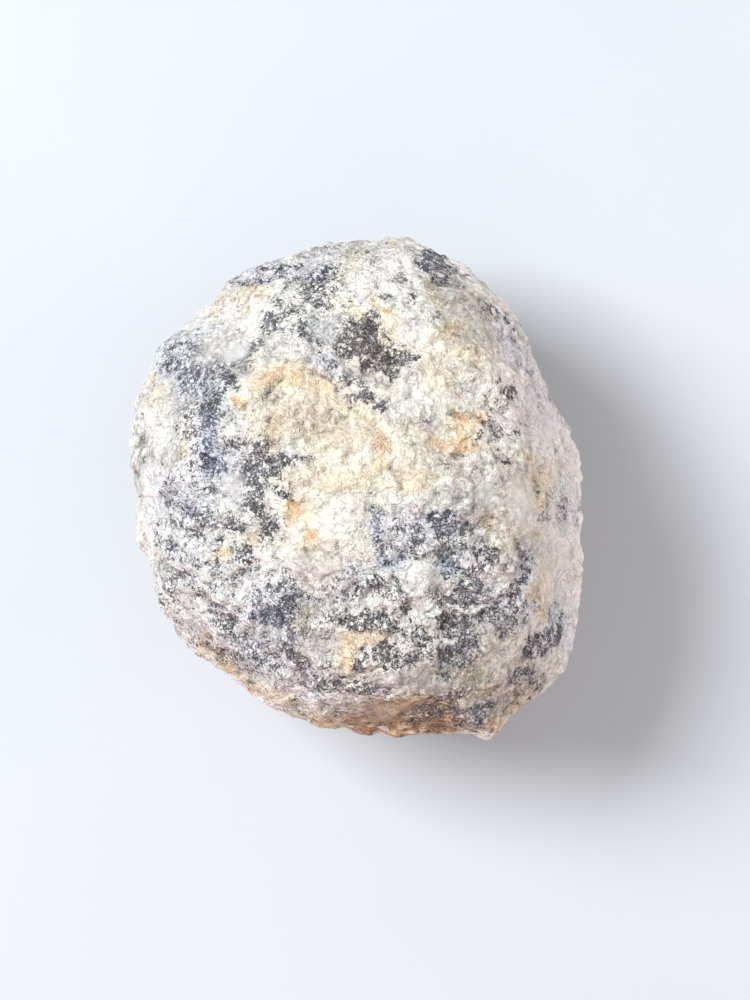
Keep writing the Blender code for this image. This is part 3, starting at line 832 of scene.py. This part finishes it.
def mixColours(tree, mode, share, first, second):  # a plain colour is its red, green and blue
    node = addNode(tree, "ShaderNodeMix", data_type="RGBA", blend_type=mode)
    fill(tree, node.inputs["Factor"], share)
    for name, colour in (("A", first), ("B", second)):
        fill(tree, node.inputs[name], (*colour, 1) if isinstance(colour, tuple) else colour)
    return node.outputs["Result"]


def colourRamp(tree, value, stops):
    node = addNode(tree, "ShaderNodeValToRGB")
    ramp = node.color_ramp
    while len(ramp.elements) < len(stops):
        ramp.elements.new(0.5)
    for element, (place, colour) in zip(ramp.elements, stops):
        element.position = place
        element.color = (*colour, 1)
    fill(tree, node.inputs[0], value)
    return node.outputs[0]


def newGroup(name, inputs, outputs):  # each socket is a value, apart from Vector
    group = bpy.data.node_groups.new(name, "ShaderNodeTree")
    for side, sockets in (("INPUT", inputs), ("OUTPUT", outputs)):
        for socket in sockets:
            kind = "NodeSocketVector" if socket == "Vector" else "NodeSocketFloat"
            group.interface.new_socket(socket, in_out=side, socket_type=kind)
    return group, addNode(group, "NodeGroupInput").outputs, addNode(group, "NodeGroupOutput").inputs


def placeGroup(tree, group, *values):  # the values go to the group's inputs in their order
    node = addNode(tree, "ShaderNodeGroup", node_tree=group)
    for socket, value in zip(node.inputs, values):
        fill(tree, socket, value)
    return node.outputs


groupTextures = {
    "mottleRoughness": 0.6,
    "waverScale": 0.9,        # as a share of the grains' scale
    "waverDetail": 2,
    "waverReach": 2.5,        # in grains
}


# Mottling that the stone and the table both use: noise, stretched to run from 0 to 1.
def makeMottle():
    group, given, result = newGroup("mottle", ("Vector", "Scale", "Detail", "Contrast"), ("Value",))
    noise = addNode(group, "ShaderNodeTexNoise")
    noise.inputs["Roughness"].default_value = groupTextures["mottleRoughness"]
    for name in ("Vector", "Scale", "Detail"):
        fill(group, noise.inputs[name], given[name])
    centred = calculate(group, "SUBTRACT", noise.outputs["Fac"], 0.5)
    stretched = calculate(group, "MULTIPLY", centred, given["Contrast"])
    fill(group, result["Value"], calculate(group, "ADD", stretched, 0.5, clamp=True))
    return group


# Grains packed side by side, as cells about spots that are scattered one to a cube of 1 / Scale. Each cell
# has two steady random values and a facet that tilts its own way. Gap is 0 where cells meet.
def makeGrains():
    group, given, result = newGroup("grains", ("Vector", "Scale"), ("First", "Second", "Facet", "Gap"))
    scale = given["Scale"]
    middle = (0.5, 0.5, 0.5)

    # a wavering of the place makes the cells ragged
    waver = addNode(group, "ShaderNodeTexNoise")
    waver.inputs["Detail"].default_value = groupTextures["waverDetail"]
    fill(group, waver.inputs["Vector"], given["Vector"])
    fill(group, waver.inputs["Scale"], calculate(group, "MULTIPLY", scale, groupTextures["waverScale"]))
    shift = addNode(group, "ShaderNodeVectorMath", operation="SCALE")
    fill(group, shift.inputs[0], joinVectors(group, "SUBTRACT", waver.outputs["Color"], middle))
    fill(group, shift.inputs["Scale"], calculate(group, "DIVIDE", groupTextures["waverReach"], scale))
    place = joinVectors(group, "ADD", given["Vector"], shift.outputs[0])

    cells = addNode(group, "ShaderNodeTexVoronoi")
    edges = addNode(group, "ShaderNodeTexVoronoi", feature="DISTANCE_TO_EDGE")
    for node in (cells, edges):
        fill(group, node.inputs["Vector"], place)
        fill(group, node.inputs["Scale"], scale)
    parts = addNode(group, "ShaderNodeSeparateColor")
    fill(group, parts.inputs[0], cells.outputs["Color"])
    tilt = joinVectors(group, "SUBTRACT", cells.outputs["Color"], middle)
    away = joinVectors(group, "SUBTRACT", place, cells.outputs["Position"])
    facet = joinVectors(group, "DOT_PRODUCT", away, tilt)
    fill(group, result["First"], parts.outputs["Red"])
    fill(group, result["Second"], parts.outputs["Green"])
    fill(group, result["Facet"], calculate(group, "MULTIPLY", facet, scale))
    fill(group, result["Gap"], edges.outputs["Distance"])
    return group


mottleGroup = makeMottle()
grainsGroup = makeGrains()


# The rind: chalky crumbs over charcoal-coloured grains. "bare" is the share of the surface where those show.
rindFinish = {
    "mineralTones": [
        (0.00, (0.020, 0.019, 0.023)),
        (0.25, (0.084, 0.080, 0.089)),
        (0.50, (0.236, 0.230, 0.244)),
        (0.75, (0.440, 0.432, 0.442)),
        (1.00, (0.720, 0.708, 0.706)),
    ],
    "chalkTones": [
        (0.00, (0.330, 0.312, 0.295)),
        (0.30, (0.600, 0.580, 0.560)),
        (0.60, (0.850, 0.836, 0.815)),
        (1.00, (0.960, 0.952, 0.938)),
    ],
    "stainTints": [
        (0.00, (1.00, 0.992, 0.980)),
        (0.35, (1.00, 0.945, 0.820)),
        (0.70, (0.975, 0.855, 0.670)),
        # the strongest, salmon end shows mostly on the bottom, where it is partly painted warm reflected
        # light
        (1.00, (0.93, 0.610, 0.370)),
    ],
    "mineralStainTint": (1.0, 0.76, 0.58),
    # near black: the charcoal's darkest tone and painted shade in the gaps between grains and along thin
    # creases
    "charcoalAndCreviceShade": (0.036, 0.034, 0.039),
    "coolTint": (0.71, 0.775, 1.0),
    "smearColour": (0.54, 0.545, 0.54),
    "driftTints": ((1.0, 0.958, 0.968), (0.972, 1.0, 0.945)),

    # mottling: the scale per metre, the detail and the contrast
    "drift": (420, 2, 3.0),
    "clumps": (700, 2, 2.0),
    "dust": (4200, 2, 2.2),
    "grainScale": 2050,
    "longCreaseScale": 1000,
    "shortCreaseScale": 1850,
    "creaseDetail": 2.6,
    "creaseRoughness": 0.62,
    "creaseSharpness": 9,
    "lineSharpness": 30,

    # how much each value adds to a level; crumb is the painted shade of the crumbs and creases, so it brings
    # painted shade into each level
    "charcoalLevel": {
        "base": -0.35, "grainFirst": 0.57, "longCreases": 0.21, "shortCreases": 0.36, "clumps": 0.12,
        "crumb": 0.15, "dust": 0.09,
    },
    "mineralLevel": {
        "base": 0.2, "grainSecond": 0.5, "dust": 0.22, "longCreases": 0.17, "shortCreases": 0.22,
        "crumb": 0.05, "veil": -0.7,
    },
    # in the chalk, longCreases and shortCreases paint shade: the chalk is darker along the creases
    "chalkLevel": {
        "base": -0.118, "grainFirst": 0.14, "dust": 0.14, "crumb": 0.42, "clumps": 0.3, "longCreases": 0.17,
        "shortCreases": 0.1, "bare": -0.2, "dull": -0.4,
    },
    "stainLevel": {"base": 0.72, "clumps": 0.35, "dust": 0.2},
    "roughness": {"base": 0.82, "grainSecond": 0.14, "smear": -0.35},
    "bumpShare": {"base": 1.0, "smear": -0.85},
    "bumpHeights": {  # mm
        "grainFacet": 0.23, "inside": 0.03, "dust": 0.015, "shows": -0.03, "longCreases": 0.10,
        "shortCreases": 0.045,
    },
    "leastBare": -0.08,
    "bareShare": 0.67,
    "solidShare": 0.36,       # closes up the charcoal where the mark is strong
    "edgeWidth": 0.05,        # how sharply the charcoal stops at a crumb
    "veilLimit": 0.31,        # how far from the crumbs' edges the charcoal goes on darkening
    "mineralStain": 0.8,
    "gapWidth": 0.12,         # as a share of a grain
    "gapShare": 0.85,
    "lineSpread": 1.6,        # how soon the thin dark lines reach full strength as more charcoal is bare
    "lineShare": 0.95,
    "smearShare": 0.75,
    "specular": 0.2,
}


def rindMaterial():
    finish = rindFinish
    material = bpy.data.materials.new("crumblyRind")
    material.use_nodes = True
    tree = material.node_tree
    shader = tree.nodes["Principled BSDF"]
    place = addNode(tree, "ShaderNodeTexCoord").outputs["Object"]
    values = {"base": 1.0}

    def times(first, second, clamp=False):
        return calculate(tree, "MULTIPLY", first, second, clamp)

    def plus(first, second, clamp=False):
        return calculate(tree, "ADD", first, second, clamp)

    def rest(value):
        return calculate(tree, "SUBTRACT", 1.0, value)

    def total(weights):
        amount = 0.0
        for name, weight in weights.items():
            amount = plus(amount, times(values[name], weight))
        return amount

    def mottled(name):
        return placeGroup(tree, mottleGroup, place, *finish[name])["Value"]

    def offCrease(scale):  # how far off a wandering line, where noise crosses its middle value
        noise = addNode(tree, "ShaderNodeTexNoise")
        noise.inputs["Scale"].default_value = scale
        noise.inputs["Detail"].default_value = finish["creaseDetail"]
        noise.inputs["Roughness"].default_value = finish["creaseRoughness"]
        fill(tree, noise.inputs["Vector"], place)
        return calculate(tree, "ABSOLUTE", plus(noise.outputs["Fac"], -0.5))

    # crumb, read here, is a painted shade: lighter on crumbs, darker in creases
    for name in ("bare", "stain", "cool", "dull", "smear", "crumb"):
        values[name] = addNode(tree, "ShaderNodeAttribute", attribute_name=name).outputs["Fac"]
    bare, stain = values["bare"], values["stain"]
    grains = placeGroup(tree, grainsGroup, place, finish["grainScale"])
    for name in ("First", "Second", "Facet"):
        values["grain" + name] = grains[name]
    longOff = offCrease(finish["longCreaseScale"])
    shortOff = offCrease(finish["shortCreaseScale"])
    values["longCreases"] = times(longOff, finish["creaseSharpness"], True)
    values["shortCreases"] = times(shortOff, finish["creaseSharpness"], True)
    thinLines = rest(times(shortOff, finish["lineSharpness"], True))
    values["clumps"] = mottled("clumps")
    values["dust"] = mottled("dust")

    # the charcoal shows where this level lies below the bare share: first as a thin grey veil, then dark
    level = total(finish["charcoalLevel"])
    bareShare = plus(times(bare, finish["solidShare"]), finish["bareShare"])
    wanted = plus(times(bare, bareShare), finish["leastBare"])
    beneath = calculate(tree, "SUBTRACT", wanted, level)
    shows = plus(calculate(tree, "DIVIDE", beneath, finish["edgeWidth"]), 0.5, True)
    inside = calculate(tree, "DIVIDE", grains["Gap"], finish["gapWidth"], clamp=True)
    values["veil"] = calculate(tree, "MINIMUM", beneath, finish["veilLimit"])
    values["shows"] = shows
    values["inside"] = inside

    mineral = colourRamp(tree, total(finish["mineralLevel"]), finish["mineralTones"])
    mineralStain = times(stain, finish["mineralStain"])
    mineral = mixColours(tree, "MULTIPLY", mineralStain, mineral, finish["mineralStainTint"])

    chalk = colourRamp(tree, total(finish["chalkLevel"]), finish["chalkTones"])
    stainTint = colourRamp(tree, times(stain, total(finish["stainLevel"])), finish["stainTints"])
    chalk = mixColours(tree, "MULTIPLY", 1.0, chalk, stainTint)

    colour = mixColours(tree, "MIX", shows, chalk, mineral)
    # the gaps between grains and the thin lines along the creases darken: partly the charcoal, partly painted
    # crevice shade
    gapShare = times(times(rest(inside), shows), finish["gapShare"])
    colour = mixColours(tree, "MIX", gapShare, colour, finish["charcoalAndCreviceShade"])
    lineShare = times(times(thinLines, times(bare, finish["lineSpread"], True)), finish["lineShare"])
    colour = mixColours(tree, "MIX", lineShare, colour, finish["charcoalAndCreviceShade"])
    drift = mixColours(tree, "MIX", mottled("drift"), *finish["driftTints"])
    colour = mixColours(tree, "MULTIPLY", 1.0, colour, drift)
    colour = mixColours(tree, "MULTIPLY", values["cool"], colour, finish["coolTint"])
    smearShare = times(values["smear"], finish["smearShare"])
    colour = mixColours(tree, "MIX", smearShare, colour, finish["smearColour"])
    fill(tree, shader.inputs["Base Color"], colour)
    fill(tree, shader.inputs["Roughness"], total(finish["roughness"]))
    shader.inputs["Specular IOR Level"].default_value = finish["specular"]

    # tilted facets, with the gaps and creases sunk between them
    bump = addNode(tree, "ShaderNodeBump")
    bump.inputs["Distance"].default_value = mm
    fill(tree, bump.inputs["Height"], times(total(finish["bumpHeights"]), total(finish["bumpShare"])))
    fill(tree, shader.inputs["Normal"], bump.outputs["Normal"])
    return material


stone = makeStone()
stone.data.materials.append(rindMaterial())
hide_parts("geode")
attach(stone, "root")
print("stone finished")


# A plain pale table, very slightly uneven in tone.
table = {
    "halfSize": 1.2,
    "colour": (0.560, 0.590, 0.625),
    "mottledColour": (0.540, 0.575, 0.610),
    "mottling": (45, 2, 1.6),  # per metre, detail and contrast
    "roughness": 0.6,
}


def makeTable():
    half = table["halfSize"]
    mesh = bpy.data.meshes.new("table")
    corners = [(-half, -half, 0), (half, -half, 0), (half, half, 0), (-half, half, 0)]
    mesh.from_pydata(corners, [], [(0, 1, 2, 3)])
    material = bpy.data.materials.new("paleTable")
    material.use_nodes = True
    tree = material.node_tree
    shader = tree.nodes["Principled BSDF"]
    place = addNode(tree, "ShaderNodeTexCoord").outputs["Object"]
    cloud = placeGroup(tree, mottleGroup, place, *table["mottling"])["Value"]
    colour = mixColours(tree, "MIX", cloud, table["colour"], table["mottledColour"])
    fill(tree, shader.inputs["Base Color"], colour)
    shader.inputs["Roughness"].default_value = table["roughness"]
    mesh.materials.append(material)
    plane = bpy.data.objects.new("table", mesh)
    bpy.context.collection.objects.link(plane)


# Soft daylight from the upper left, and a bright pale room all round. Each lamp has a place, a size, a power
# and a colour; two weak, warm ones stand near the table.
daylight = {
    "roomColour": (0.93, 0.96, 1.0),
    "roomStrength": 0.605,
    "aim": (0, 0, 0.02),
    "lamps": {
        "window": ((-0.46, 0.22, 0.70), 0.34, 8.5, (0.985, 0.992, 1.0)),
        "rightBounce": ((0.26, 0.0, 0.015), 0.16, 0.56, (1.0, 0.78, 0.72)),
        "lowBounce": ((-0.04, -0.27, 0.01), 0.16, 0.42, (1.0, 0.42, 0.26)),
    },
}


def makeLamp(name, place, size, power, colour):  # a square lamp that faces the stone
    light = bpy.data.lights.new(name, "AREA")
    light.size = size
    light.energy = power
    light.color = colour
    lamp = bpy.data.objects.new(name, light)
    lamp.location = place
    away = lamp.location - mathutils.Vector(daylight["aim"])
    lamp.rotation_euler = away.to_track_quat("Z", "Y").to_euler()
    bpy.context.collection.objects.link(lamp)


def makeDaylight():
    world = bpy.data.worlds.new("paleRoom")
    world.use_nodes = True
    background = world.node_tree.nodes["Background"]
    background.inputs["Color"].default_value = (*daylight["roomColour"], 1)
    background.inputs["Strength"].default_value = daylight["roomStrength"]
    bpy.context.scene.world = world
    for name, settings in daylight["lamps"].items():
        makeLamp(name, *settings)
    bpy.context.scene.view_settings.view_transform = "Standard"


# The camera looks straight down. The photograph's longer side sets the lens.
def makeCamera():
    view = pictureView
    camera = bpy.data.cameras.new("camera")
    camera.sensor_width = view["sensor"]
    camera.lens = view["sensor"] * view["distance"] * view["pixelsPerMm"] / view["height"]
    viewer = bpy.data.objects.new("camera", camera)
    middle = view["stoneMiddle"]
    viewer.location = (
        (view["width"] / 2 - middle[0]) / view["pixelsPerMm"] * mm,
        (middle[1] - view["height"] / 2) / view["pixelsPerMm"] * mm,
        (view["waistHeight"] + view["distance"]) * mm,
    )
    bpy.context.collection.objects.link(viewer)
    bpy.context.scene.camera = viewer


makeTable()
makeDaylight()
makeCamera()
print("table, light and camera done")
